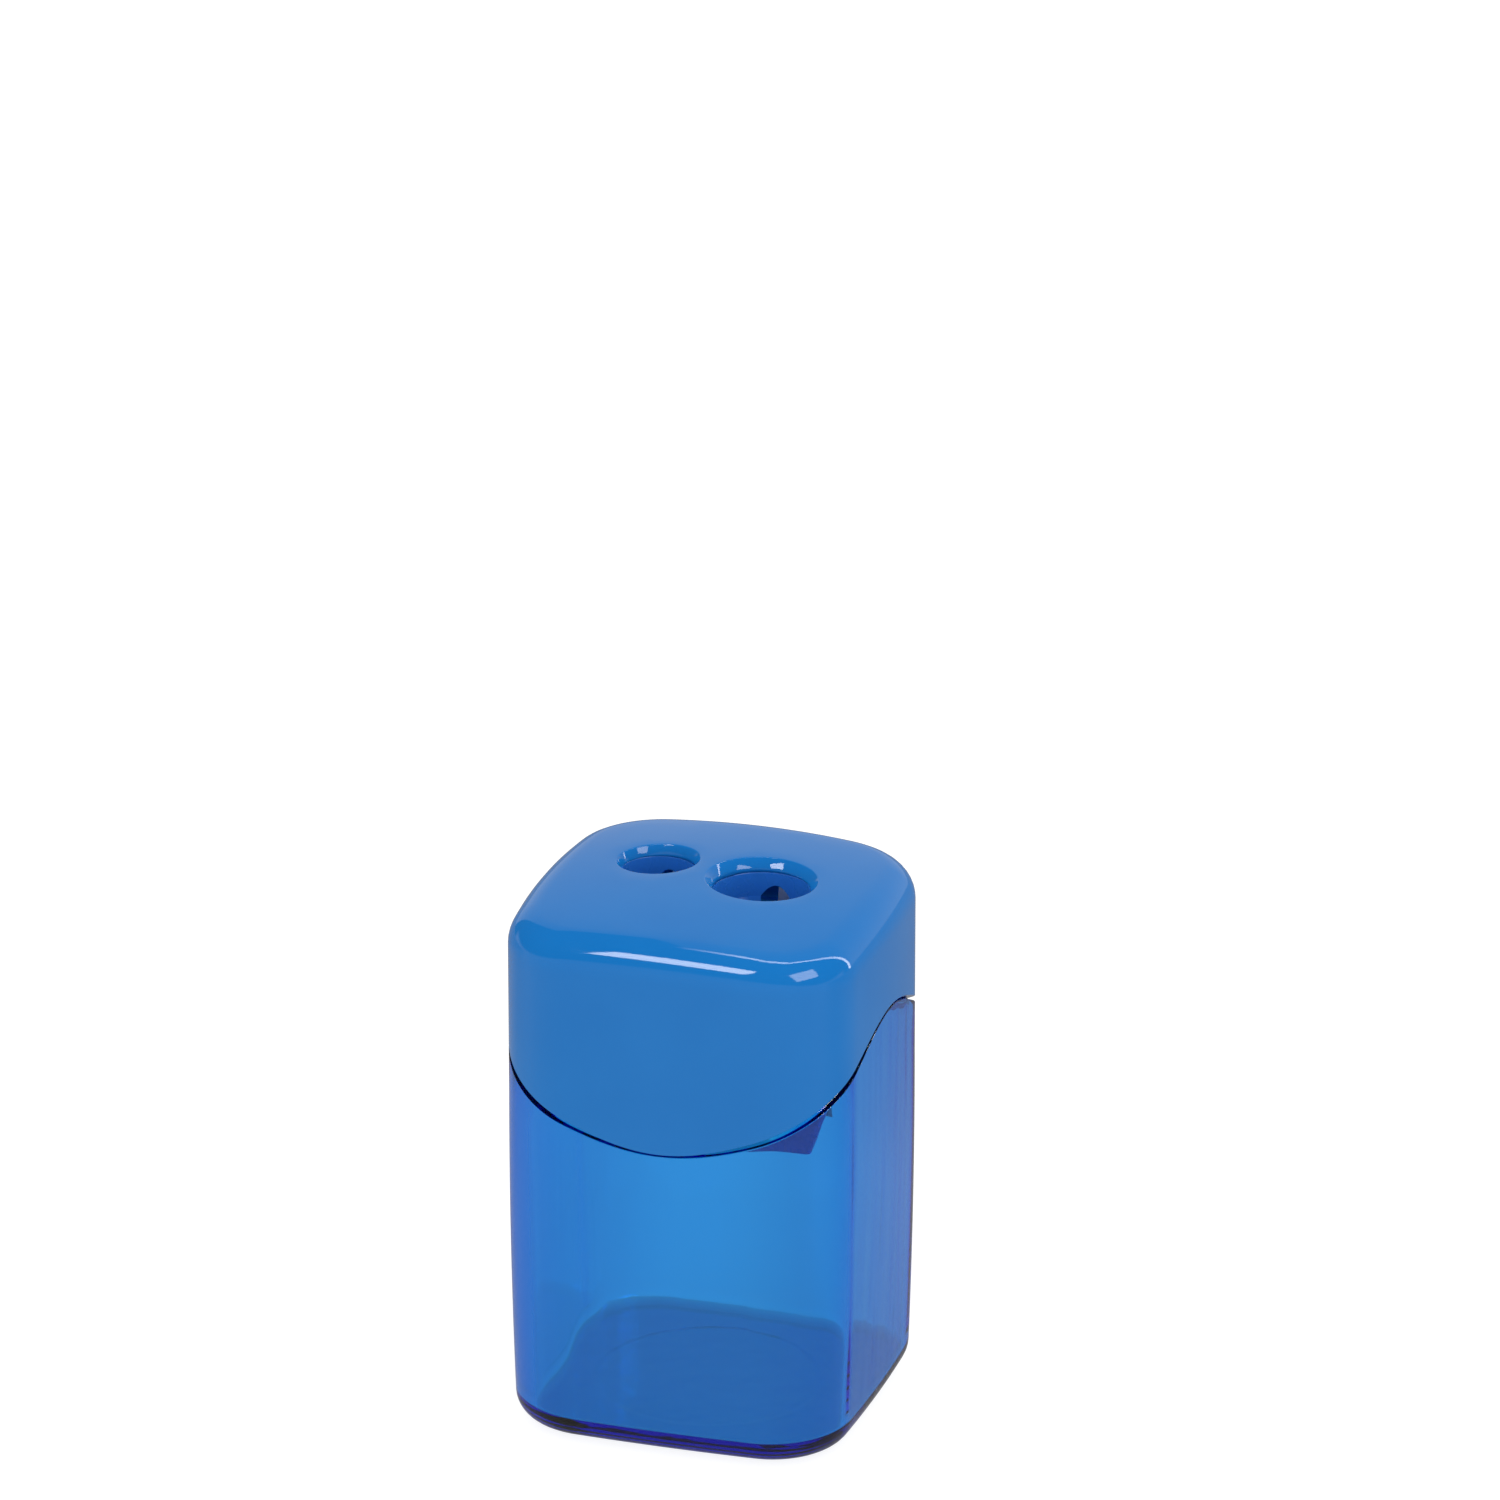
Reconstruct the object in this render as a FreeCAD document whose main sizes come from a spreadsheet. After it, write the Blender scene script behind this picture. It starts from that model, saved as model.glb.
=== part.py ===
import FreeCAD, Part
import math
import os
import Sketcher
from FreeCAD import Placement, Rotation, Vector

# Hand-held canister pencil sharpener with two holes.
# A square, softly bulged see-through container holds the shavings.
# An opaque lid meets it along a wavy line and carries a moulded block
# with a standard and a jumbo cone, each with its own screwed-on blade.
# Millimetres, +Z up, origin at the centre of the underside, front towards -Y.

DIMENSIONS = {
    # plan outline: four shallow side arcs joined by four corner arcs
    "half_width": 20.0,
    "side_radius": 120.0,
    "corner_radius": 10.0,
    "middle_half_width": 19.7,
    "middle_side_radius": 180.0,
    "middle_corner_radius": 9.5,
    "base_half_width": 19.1,
    "base_side_radius": 240.0,
    "base_corner_radius": 8.9,
    # container
    "middle_height": 19.0,
    "straight_height": 38.0,
    "blank_height": 52.0,
    "wall": 1.9,
    "floor_thickness": 2.2,
    "floor_rounding": 1.5,
    "base_rounding": 2.8,
    "recess_radius": 13.0,
    "recess_depth": 0.25,
    # wavy rim: height against the plan angle, low in front, high at the sides
    "wave_middle": 41.15,
    "wave_rise": 5.82,
    "wave_crest": 0.43,
    "shoulder": 1.05,
    "lip_height": 2.2,
    # lid
    "height": 60.7,
    "crown_radius": 150.0,
    "top_rounding": 4.1,
    "lid_wall": 2.0,
    "lid_underside": 58.6,
    "lid_inner_rounding": 2.5,
    "lid_blank_bottom": 33.0,
    "rebate_top": 51.0,
    "lip_clearance": 0.12,
    "edge_gap": 0.15,
    "slope_gap": 0.55,
    "mouth_depth": 1.1,
    "mouth_rounding": 0.2,
    "hook_width": 8.0,
    "hook_thickness": 1.2,
    "hook_reach": 1.1,
    "hook_drop": 1.0,
    "hook_clearance": 0.1,
    # pencil holes, each cut from behind by its own blade seat
    "standard_x": -7.1,
    "standard_y": 2.95,
    "standard_radius": 4.05,
    "standard_mouth": 4.5,
    "jumbo_x": 5.3,
    "jumbo_y": 0.75,
    "jumbo_radius": 5.3,
    "jumbo_mouth": 6.05,
    "seat_bite": 0.27,
    "seat_step": 2.2,
    "cone_start": 56.3,
    "cone_angle": 12.0,
    "point_radius": 0.9,
    # moulded sharpener block
    "block_left": -12.4,
    "block_right": 14.4,
    "block_bottom": 29.9,
    "block_bottom_rise": 1.0,
    "block_taper_height": 4.4,
    "block_taper_width": 2.1,
    "block_front_top": 6.9,
    "block_front_bottom": 3.2,
    "plate_top": 59.1,
    "plate_thickness": 1.2,
    "plate_clearance": 0.1,
    "plate_margin": 1.0,
    "plate_front": 8.6,
    "plate_back": 9.6,
    "plate_corner": 2.5,
    "core_top": 51.0,
    "core_x": -1.2,
    "core_bottom": 33.0,
    "core_half_width": 3.4,
    "core_web": 2.0,
    "throat_width": 3.0,
    "throat_depth": 1.0,
    "throat_lead": 0.6,
    "cut_margin": 1.0,
    "block_rounding": 0.6,
    "guide_rounding": 0.15,
    # blades and their screws
    "blade_length": 24.5,
    "blade_width": 8.8,
    "blade_thickness": 0.6,
    "blade_bevel": 2.0,
    "blade_edge": 0.05,
    "blade_overrun": 1.2,
    "blade_lead": 0.3,
    "blade_hole_radius": 1.4,
    "blade_hole_offset": 4.8,
    "screw_head_radius": 2.3,
    "screw_head_height": 1.3,
    "screw_crown_radius": 1.4,
    "screw_rim_height": 0.65,
    "screw_slot_width": 0.6,
    "screw_slot_depth": 0.6,
    "screw_radius": 1.1,
    "screw_length": 5.0,
    "screw_point": 1.2,
}
HOLES = ("standard", "jumbo")
WAVE_STEPS = 48
WAVE_INNER_RADIUS = 13.0
WAVE_OUTER_RADIUS = 32.0
TOOL_DEPTH = 30.0
TOLERANCE = 0.01

doc = FreeCAD.newDocument("canister_sharpener")
dims = doc.addObject("Spreadsheet::Sheet", "dims")
for row, (alias, number) in enumerate(DIMENSIONS.items(), start=1):
    dims.set(f"A{row}", alias)
    dims.set(f"B{row}", str(number))
    dims.setAlias(f"B{row}", alias)
doc.recompute()


def size(expression):
    """Number behind an expression written in the sheet's aliases."""
    result = dims.evalExpression(sheet_names(expression))
    return float(getattr(result, "Value", result))


def sheet_names(expression):
    """The same expression with every alias pointed at the sheet."""
    words = expression.split()
    return " ".join(f"dims.{word}" if word in DIMENSIONS else word for word in words)


def bind(item, prop, expression):
    item.setExpression(prop, sheet_names(expression))


def new_body(label):
    body = doc.addObject("PartDesign::Body", label)
    body.Label = label
    return body


def new_sketch(body, name, plane, height="0", tilt=0.0, base=Vector()):
    """Empty sketch on one of the body's own origin planes, moved along its normal."""
    sketch = body.newObject("Sketcher::SketchObject", name)
    support = [item for item in body.Origin.OriginFeatures if item.Role == plane][0]
    sketch.AttachmentSupport = (support, "")
    sketch.MapMode = "FlatFace"
    sketch.AttachmentOffset = Placement(base, Rotation(Vector(1, 0, 0), tilt))
    if height != "0":
        bind(sketch, "AttachmentOffset.Base.z", height)
    return sketch


def bind_constraint(sketch, name, constraint, expression):
    index = sketch.addConstraint(constraint)
    sketch.renameConstraint(index, name)
    bind(sketch, f"Constraints.{name}", expression)


def polygon(sketch, corners):
    """Closed outline of straight edges through corners given as pairs of expressions."""
    points = [Vector(size(x), size(y), 0) for x, y in corners]
    count = len(points)
    for i in range(count):
        sketch.addGeometry(Part.LineSegment(points[i], points[(i + 1) % count]))
    for i in range(count):
        sketch.addConstraint(Sketcher.Constraint("Coincident", i, 2, (i + 1) % count, 1))
    for i, (x, y) in enumerate(corners):
        place_point(sketch, f"corner{i}", i, 1, x, y)


def place_point(sketch, name, geometry, vertex, x, y):
    """Hold one point of a sketch at an expression for each of its coordinates."""
    for axis, kind, other, expression in (("x", "DistanceX", -2, x), ("y", "DistanceY", -1, y)):
        number = size(expression)
        if number == 0:
            sketch.addConstraint(Sketcher.Constraint("PointOnObject", geometry, vertex, other))
        elif number > 0:
            rule = Sketcher.Constraint(kind, -1, 1, geometry, vertex, number)
            bind_constraint(sketch, f"{name}_{axis}", rule, expression)
        else:
            rule = Sketcher.Constraint(kind, geometry, vertex, -1, 1, -number)
            bind_constraint(sketch, f"{name}_{axis}", rule, f"- ( {expression} )")


def circle(sketch, name, x, y, radius):
    centre = Vector(size(x), size(y), 0)
    index = sketch.addGeometry(Part.Circle(centre, Vector(0, 0, 1), size(radius)))
    place_point(sketch, name, index, 3, x, y)
    rule = Sketcher.Constraint("Radius", index, size(radius))
    bind_constraint(sketch, f"{name}_radius", rule, radius)


def outline(sketch, half_width, side_radius, corner_radius):
    """Bulged square: shallow side arcs, each tangent to the corner arcs beside it."""
    side = size(side_radius)
    corner = size(corner_radius)
    offset = size(half_width) - side
    reach = side - corner
    corner_centre = (offset + math.sqrt(2 * reach**2 - offset**2)) / 2
    swing = math.atan2(corner_centre, corner_centre - offset)
    up = Vector(0, 0, 1)
    for quarter in range(4):
        turn = quarter * math.pi / 2
        spin = Rotation(up, math.degrees(turn))
        side_arc = Part.Circle(spin.multVec(Vector(offset, 0, 0)), up, side)
        corner_arc = Part.Circle(spin.multVec(Vector(corner_centre, corner_centre, 0)), up, corner)
        sketch.addGeometry(Part.ArcOfCircle(side_arc, turn - swing, turn + swing))
        sketch.addGeometry(Part.ArcOfCircle(corner_arc, turn + swing, turn + math.pi / 2 - swing))
    for i in range(8):
        sketch.addConstraint(Sketcher.Constraint("Tangent", i, 2, (i + 1) % 8, 1))
    for quarter in range(1, 4):
        sketch.addConstraint(Sketcher.Constraint("Equal", 0, 2 * quarter))
        sketch.addConstraint(Sketcher.Constraint("Equal", 1, 2 * quarter + 1))
    bind_constraint(sketch, "side_radius", Sketcher.Constraint("Radius", 0, side), side_radius)
    bind_constraint(sketch, "corner_radius", Sketcher.Constraint("Radius", 1, corner), corner_radius)
    inset = f"{side_radius} - ( {half_width} )"
    centres = (("-1 * ", "0", 0), ("0", "-1 * ", 2), ("", "0", 4), ("0", "", 6))
    for x, y, arc in centres:
        x_place = "0" if x == "0" else f"{x}( {inset} )"
        y_place = "0" if y == "0" else f"{y}( {inset} )"
        place_point(sketch, f"centre{arc}", arc, 3, x_place, y_place)


def outline_sketch(body, name, height, section, inset="0"):
    """Outline of one named section of the object, drawn in by an inset all round."""
    prefix = "" if section == "top" else f"{section}_"
    sketch = new_sketch(body, name, "XY_Plane", height)
    sizes = [f"{prefix}{word}" for word in ("half_width", "side_radius", "corner_radius")]
    if inset != "0":
        sizes = [f"{word} - {inset}" for word in sizes]
    outline(sketch, *sizes)
    return sketch


def pad(body, name, sketch, length, reverse=False):
    feature = body.newObject("PartDesign::Pad", name)
    feature.Profile = sketch
    feature.Reversed = reverse
    bind(feature, "Length", length)
    return feature


def pocket(body, name, sketch, length, reverse=False, midplane=False, other_side="0"):
    """Cut along the sketch's normal, with the volume checked to have gone down."""
    doc.recompute()
    before = body.Shape.Volume
    feature = body.newObject("PartDesign::Pocket", name)
    feature.Profile = sketch
    feature.Reversed = reverse
    feature.Midplane = midplane
    bind(feature, "Length", length)
    if other_side != "0":
        feature.SideType = "Two sides"
        bind(feature, "Length2", other_side)
    doc.recompute()
    check_cut(name, before, body)
    return feature


def groove(body, name, sketch):
    """Cut turned a full circle about the sketch's own vertical axis."""
    doc.recompute()
    before = body.Shape.Volume
    feature = body.newObject("PartDesign::Groove", name)
    feature.Profile = sketch
    feature.ReferenceAxis = (sketch, ["V_Axis"])
    feature.Angle = 360
    doc.recompute()
    check_cut(name, before, body)
    return feature


def check_cut(name, before, body):
    if body.Shape.Volume > before - TOLERANCE:
        raise RuntimeError(f"{name} cuts nothing")


def fillet(body, name, radius, wanted):
    """Round every edge of the body's current solid that the test picks."""
    doc.recompute()
    base = body.Tip
    edges = [f"Edge{i}" for i, edge in enumerate(base.Shape.Edges, start=1) if wanted(edge)]
    if not edges:
        raise RuntimeError(f"{name} finds no edge")
    feature = body.newObject("PartDesign::Fillet", name)
    feature.Base = (base, edges)
    bind(feature, "Radius", radius)
    doc.recompute()
    return feature


def level_edge(height):
    """Test for an edge that lies flat at a height."""
    def test(edge):
        box = edge.BoundBox
        return abs(box.ZMin - height) < TOLERANCE and abs(box.ZMax - height) < TOLERANCE
    return test


def boolean(kind, label, base, tool):
    result = doc.addObject(f"Part::{kind}", label)
    result.Label = label
    result.Base = base
    result.Tool = tool
    return result


# The wavy parting line

def rim_wave(angle):
    """Height of the container's rim at a plan angle."""
    ripple = size("wave_rise") * math.cos(2 * angle)
    crest = size("wave_crest") * math.cos(4 * angle)
    return size("wave_middle") + ripple + crest


def lid_wave(angle):
    """Height of the lid's edge: close to the rim where level, wider where it slopes."""
    slope = math.sin(2 * angle) ** 2
    return rim_wave(angle) + size("edge_gap") + size("slope_gap") * slope


def wave_solid(name, wave, lift, depth):
    """Ring of material on one side of a wave, to cut a rim with."""
    def edge(radius):
        points = []
        for step in range(WAVE_STEPS):
            angle = 2 * math.pi * step / WAVE_STEPS
            height = wave(angle) + lift
            points.append(Vector(radius * math.cos(angle), radius * math.sin(angle), height))
        curve = Part.BSplineCurve()
        curve.interpolate(Points=points, PeriodicFlag=True)
        return curve.toShape()
    face = Part.makeRuledSurface(edge(WAVE_INNER_RADIUS), edge(WAVE_OUTER_RADIUS))
    feature = doc.addObject("Part::Feature", name)
    feature.Shape = face.extrude(Vector(0, 0, depth))
    feature.Placement = Placement()
    return feature


# Container

def loft(body, kind, name, sketches):
    feature = body.newObject(f"PartDesign::{kind}", name)
    feature.Profile = sketches[0]
    feature.Sections = sketches[1:]
    feature.Ruled = False
    return feature


def wall_sections(body, name, bottom, inset):
    return [
        outline_sketch(body, f"{name}_base", bottom, "base", inset),
        outline_sketch(body, f"{name}_middle", "middle_height", "middle", inset),
        outline_sketch(body, f"{name}_top", "straight_height", "top", inset),
    ]


def container():
    body = new_body("container_blank")
    loft(body, "AdditiveLoft", "outer_wall", wall_sections(body, "outer", "0", "0"))
    upper = outline_sketch(body, "upper_outline", "straight_height", "top")
    pad(body, "upper_wall", upper, "blank_height - straight_height")
    fillet(body, "base_edge", "base_rounding", level_edge(0))
    doc.recompute()
    before = body.Shape.Volume
    loft(body, "SubtractiveLoft", "inside", wall_sections(body, "inner", "floor_thickness", "wall"))
    doc.recompute()
    check_cut("inside", before, body)
    mouth = outline_sketch(body, "mouth_outline", "straight_height", "top", "wall")
    pocket(body, "mouth", mouth, "blank_height - straight_height", reverse=True)
    fillet(body, "floor_edge", "floor_rounding", level_edge(size("floor_thickness")))
    recess = new_sketch(body, "recess_outline", "XY_Plane")
    circle(recess, "recess", "0", "0", "recess_radius")
    pocket(body, "underside_recess", recess, "recess_depth", reverse=True)

    lip = new_body("lip_core")
    core = outline_sketch(lip, "lip_outline", "lid_blank_bottom", "top", "shoulder")
    pad(lip, "lip_height", core, "height")
    above_lip = wave_solid("above_lip", rim_wave, size("lip_height"), TOOL_DEPTH)
    above_rim = wave_solid("above_rim", rim_wave, 0, TOOL_DEPTH)
    shoulder = boolean("Cut", "above_shoulder", above_rim, lip)
    trimmed = boolean("Cut", "trimmed_container", body, above_lip)
    return boolean("Cut", "container", trimmed, shoulder)


# Lid

def dome_sketch(body):
    """Everything above the crowned top, as half a section for a full turn."""
    sketch = new_sketch(body, "dome_section", "XZ_Plane")
    radius = size("crown_radius")
    reach = 2 * size("half_width")
    centre = size("height") - radius
    edge = centre + math.sqrt(radius**2 - reach**2)
    ceiling = size("height") + size("half_width")
    crown = Part.Circle(Vector(0, centre, 0), Vector(0, 0, 1), radius)
    start = math.acos(reach / radius)
    sketch.addGeometry(Part.ArcOfCircle(crown, start, math.pi / 2))
    sketch.addGeometry(Part.LineSegment(Vector(0, size("height"), 0), Vector(0, ceiling, 0)))
    sketch.addGeometry(Part.LineSegment(Vector(0, ceiling, 0), Vector(reach, ceiling, 0)))
    sketch.addGeometry(Part.LineSegment(Vector(reach, ceiling, 0), Vector(reach, edge, 0)))
    for first, vertex, second, other in ((0, 2, 1, 1), (1, 2, 2, 1), (2, 2, 3, 1), (3, 2, 0, 1)):
        sketch.addConstraint(Sketcher.Constraint("Coincident", first, vertex, second, other))
    place_point(sketch, "apex", 1, 1, "0", "height")
    place_point(sketch, "ceiling", 2, 2, "2 * half_width", "height + half_width")
    sketch.addConstraint(Sketcher.Constraint("PointOnObject", 0, 3, -2))
    sketch.addConstraint(Sketcher.Constraint("PointOnObject", 1, 2, -2))
    sketch.addConstraint(Sketcher.Constraint("Horizontal", 2))
    sketch.addConstraint(Sketcher.Constraint("Vertical", 3))
    bind_constraint(sketch, "crown", Sketcher.Constraint("Radius", 0, radius), "crown_radius")
    return sketch


def pencil_holes(sketch):
    """Circles of both holes in the lid, as wide as the guides under them."""
    for name in HOLES:
        circle(sketch, name, f"{name}_x", f"{name}_y", f"{name}_radius")


def mouth(body, name):
    """Widen the upper end of one hole in the lid to a funnel."""
    doc.recompute()
    before = body.Shape.Volume
    centre = size(f"{name}_x")
    base = body.Tip
    edges = []
    for i, edge in enumerate(base.Shape.Edges, start=1):
        if hole_mouth(edge) and abs(edge.BoundBox.Center.x - centre) < TOLERANCE:
            edges.append(f"Edge{i}")
    feature = body.newObject("PartDesign::Chamfer", f"{name}_mouth")
    feature.Base = (base, edges)
    feature.ChamferType = "Two distances"
    bind(feature, "Size", "mouth_depth")
    bind(feature, "Size2", f"{name}_mouth - {name}_radius")
    doc.recompute()
    check_cut(f"{name}_mouth", before, body)


def axis_sketch(body, label, name):
    """Upright sketch through the axis of one pencil hole."""
    base = Vector(size(f"{name}_x"), 0, -size(f"{name}_y"))
    sketch = new_sketch(body, label, "XZ_Plane", base=base)
    bind(sketch, "AttachmentOffset.Base.x", f"{name}_x")
    bind(sketch, "AttachmentOffset.Base.z", f"-1 * {name}_y")
    return sketch


def lid():
    body = new_body("lid_blank")
    outer = outline_sketch(body, "lid_outline", "lid_blank_bottom", "top")
    pad(body, "lid_block", outer, "height + half_width - lid_blank_bottom")
    groove(body, "crown", dome_sketch(body))
    fillet(body, "top_edge", "top_rounding", crown_edge)
    cavity = outline_sketch(body, "cavity_outline", "lid_blank_bottom", "top", "lid_wall")
    pocket(body, "cavity", cavity, "lid_underside - lid_blank_bottom", reverse=True)
    fillet(body, "cavity_edge", "lid_inner_rounding", level_edge(size("lid_underside")))
    skirt = "shoulder - lip_clearance"
    rebate = outline_sketch(body, "rebate_outline", "lid_blank_bottom", "top", f"( {skirt} )")
    pocket(body, "rebate", rebate, "rebate_top - lid_blank_bottom", reverse=True)
    recess = new_sketch(body, "plate_recess_outline", "XY_Plane", "lid_underside")
    polygon(recess, plate_corners("plate_clearance"))
    pocket(body, "plate_recess", recess, "plate_top - lid_underside", reverse=True)
    holes = new_sketch(body, "hole_circles", "XY_Plane", "lid_underside")
    pencil_holes(holes)
    pocket(body, "pencil_holes", holes, "height - lid_underside", reverse=True)
    for name in HOLES:
        mouth(body, name)
    fillet(body, "mouth_edges", "mouth_rounding", hole_mouth)
    lid_hooks(body)
    below = wave_solid("below_lid", lid_wave, 0, -TOOL_DEPTH)
    return boolean("Cut", "lid", body, below)


def crown_edge(edge):
    """Test for an edge where the crown meets the sides."""
    return edge.BoundBox.ZMin > size("height - top_rounding")


def hole_mouth(edge):
    """Test for the upper edge of a pencil hole, where it meets the crown."""
    box = edge.BoundBox
    above = box.ZMin > size("height - mouth_depth")
    return above and box.XLength < size("half_width")


def lid_hooks(body):
    """Two snap hooks that hold the block's plate against the lid's underside."""
    middle = "( block_left + block_right ) / 2"
    plate_bottom = "plate_top - plate_thickness"
    left = f"{middle} - hook_width / 2"
    right = f"{middle} + hook_width / 2"
    for name, sign, edge in (("front", "-1", "plate_front"), ("back", "1", "plate_back")):
        near = f"{sign} * ( {edge} + hook_clearance )"
        far = f"{sign} * ( {edge} + hook_clearance + hook_thickness )"
        tip = f"{sign} * ( {edge} + hook_clearance - hook_reach )"
        stem = new_sketch(body, f"{name}_hook_stem", "XY_Plane", "lid_underside")
        polygon(stem, [(left, near), (right, near), (right, far), (left, far)])
        pad(body, f"{name}_stem", stem, f"lid_underside - ( {plate_bottom} ) + hook_drop", reverse=True)
        barb = new_sketch(body, f"{name}_hook_barb", "XY_Plane", plate_bottom)
        polygon(barb, [(left, tip), (right, tip), (right, far), (left, far)])
        pad(body, f"{name}_barb", barb, "hook_drop", reverse=True)


# Sharpener block

def cone_sketch(body, name):
    """Half section of one pencil hole: guide, cone and the small hole at its point."""
    sketch = axis_sketch(body, f"{name}_cone_section", name)
    radius = f"{name}_radius"
    tip = f"cone_start - ( {radius} - point_radius ) / tan( cone_angle * 1deg )"
    corners = [
        ("0", "plate_top"),
        (radius, "plate_top"),
        (radius, "cone_start"),
        ("point_radius", tip),
        ("point_radius", "block_bottom"),
        ("0", "block_bottom"),
    ]
    polygon(sketch, corners)
    return sketch


def seat_depth(name):
    """Y of one blade seat at the height where the cones start."""
    return f"{name}_y + {name}_radius - seat_bite"


def seat_sketch(body, label, name):
    """Sketch in the plane of one blade seat: x across, y up the slope from the cone's start."""
    base = Vector(0, size("cone_start"), -size(seat_depth(name)))
    sketch = new_sketch(body, label, "XZ_Plane", base=base, tilt=-size("cone_angle"))
    bind(sketch, "AttachmentOffset.Base.y", "cone_start")
    bind(sketch, "AttachmentOffset.Base.z", f"-1 * ( {seat_depth(name)} )")
    return sketch


def plate_corners(margin):
    """Corners of the block's plate, or of the recess for it with a margin all round."""
    left = f"block_left - plate_margin - {margin}"
    right = f"block_right + plate_margin + {margin}"
    front = f"-1 * ( plate_front + {margin} )"
    back = f"plate_back + {margin}"
    return [(left, front), (right, front), (right, back), (left, back)]


def block():
    body = new_body("sharpener_block")
    plate_bottom = "plate_top - plate_thickness"
    plate = new_sketch(body, "plate_outline", "XY_Plane", plate_bottom)
    polygon(plate, plate_corners("0"))
    pad(body, "plate", plate, "plate_thickness")
    fillet(body, "plate_corners", "plate_corner", upright_edge)

    shape = new_sketch(body, "front_outline", "XZ_Plane")
    bottom_end = "block_bottom + block_bottom_rise"
    taper = f"{bottom_end} + block_taper_height"
    corners = [
        ("block_left", plate_bottom),
        ("block_left", taper),
        ("block_left + block_taper_width", bottom_end),
        ("( block_left + block_right ) / 2", "block_bottom"),
        ("block_right - block_taper_width", bottom_end),
        ("block_right", taper),
        ("block_right", plate_bottom),
    ]
    polygon(shape, corners)
    feature = pad(body, "wedge", shape, "2 * plate_front")
    feature.Midplane = True
    for name in HOLES:
        blade_seat(body, plate_bottom, name)
    front_slope(body, plate_bottom)
    fillet(body, "wedge_corners", "block_rounding", wedge_corner)

    core = new_sketch(body, "core_outline", "XZ_Plane", "core_web")
    corners = [
        ("core_x", "core_top"),
        ("core_x - core_half_width", "core_bottom"),
        ("core_x + core_half_width", "core_bottom"),
    ]
    polygon(core, corners)
    pocket(body, "core", core, "plate_front", reverse=True)

    for name in HOLES:
        groove(body, f"{name}_cone", cone_sketch(body, name))
    fillet(body, "guide_edges", "guide_rounding", guide_edge)
    for name in HOLES:
        throat(body, name)
        pilot_hole(body, name)
    return body


def guide_edge(edge):
    """Test for the round upper edge of a guide, flush with the top of the plate."""
    return edge.isClosed() and level_edge(size("plate_top"))(edge)


def upright_edge(edge):
    return edge.BoundBox.ZLength > size("plate_thickness") - TOLERANCE


def wedge_corner(edge):
    """Test for the front corners of the block's sides, which slope from the plate to the bottom."""
    box = edge.BoundBox
    steep = box.ZLength > size("block_taper_height") - TOLERANCE
    return steep and box.YMax < 0


def blade_seat(body, plate_bottom, name):
    """Cut one side of the block's back to the sloping plane on which a blade lies."""
    slope = "tan( cone_angle * 1deg )"
    below = "block_bottom - cut_margin"
    foot = f"{seat_depth(name)} - ( cone_start - ( {below} ) ) * {slope}"
    head = f"{seat_depth(name)} + ( {plate_bottom} - cone_start ) * {slope}"
    outside = "plate_back + cut_margin"
    section = new_sketch(body, f"{name}_seat_section", "YZ_Plane", "seat_step")
    polygon(section, [(foot, below), (outside, below), (outside, plate_bottom), (head, plate_bottom)])
    pocket(body, f"{name}_seat", section, "2 * half_width", reverse=name == "jumbo")


def front_slope(body, plate_bottom):
    """Cut the block's front so that it narrows downwards like the cones inside it."""
    outside = "-1 * ( plate_front + cut_margin )"
    section = new_sketch(body, "front_section", "YZ_Plane")
    corners = [
        ("-1 * block_front_top", plate_bottom),
        (outside, plate_bottom),
        (outside, "block_bottom"),
        ("-1 * block_front_bottom", "block_bottom"),
    ]
    polygon(section, corners)
    pocket(body, "front_slope", section, "4 * half_width", midplane=True)


def pilot_hole(body, name):
    """Hole in the seat for the screw of one blade."""
    sketch = seat_sketch(body, f"{name}_pilot_circle", name)
    across = f"{name}_x + blade_lead + blade_hole_offset"
    circle(sketch, "pilot", across, "blade_overrun - blade_length / 2", "screw_radius")
    pocket(body, f"{name}_pilot", sketch, "screw_length - blade_thickness", reverse=True)


def throat(body, name):
    """Opening beside the cutting edge, where the shaving comes out."""
    slant = "cos( cone_angle * 1deg )"
    cone = f"( {name}_radius - point_radius ) / tan( cone_angle * 1deg )"
    sketch = seat_sketch(body, f"{name}_throat_outline", name)
    right = f"{name}_x + blade_lead"
    left = f"{name}_x + blade_lead - throat_width"
    top = "-1 * throat_lead"
    bottom = f"-1 * ( {cone} / {slant} + throat_lead )"
    polygon(sketch, [(left, bottom), (right, bottom), (right, top), (left, top)])
    pocket(body, f"{name}_throat", sketch, "throat_depth", reverse=True, other_side="cut_margin")


# Blades and screws

def seat_placement(name, x, up_slope, out):
    """Place on one seat: local x across, local z up the slope, local y out of the seat."""
    tilt = math.radians(size("cone_angle"))
    y = size(seat_depth(name)) + up_slope * math.sin(tilt) + out * math.cos(tilt)
    z = size("cone_start") + up_slope * math.cos(tilt) - out * math.sin(tilt)
    return Placement(Vector(x, y, z), Rotation(Vector(1, 0, 0), -size("cone_angle")))


def blade(name):
    """Flat blade with one ground edge and a screw hole."""
    body = new_body(f"{name}_blade")
    section = new_sketch(body, "section", "XY_Plane")
    corners = [
        ("0", "0"),
        ("blade_width", "0"),
        ("blade_width", "blade_thickness"),
        ("blade_bevel", "blade_thickness"),
        ("0", "blade_edge"),
    ]
    polygon(section, corners)
    pad(body, "strip", section, "blade_length")
    hole = new_sketch(body, "hole_circle", "XZ_Plane")
    circle(hole, "hole", "blade_hole_offset", "blade_length / 2", "blade_hole_radius")
    pocket(body, "hole", hole, "4 * blade_thickness", midplane=True)
    edge = size(f"{name}_x + blade_lead")
    body.Placement = seat_placement(name, edge, size("blade_overrun - blade_length"), 0)
    return body


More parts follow.
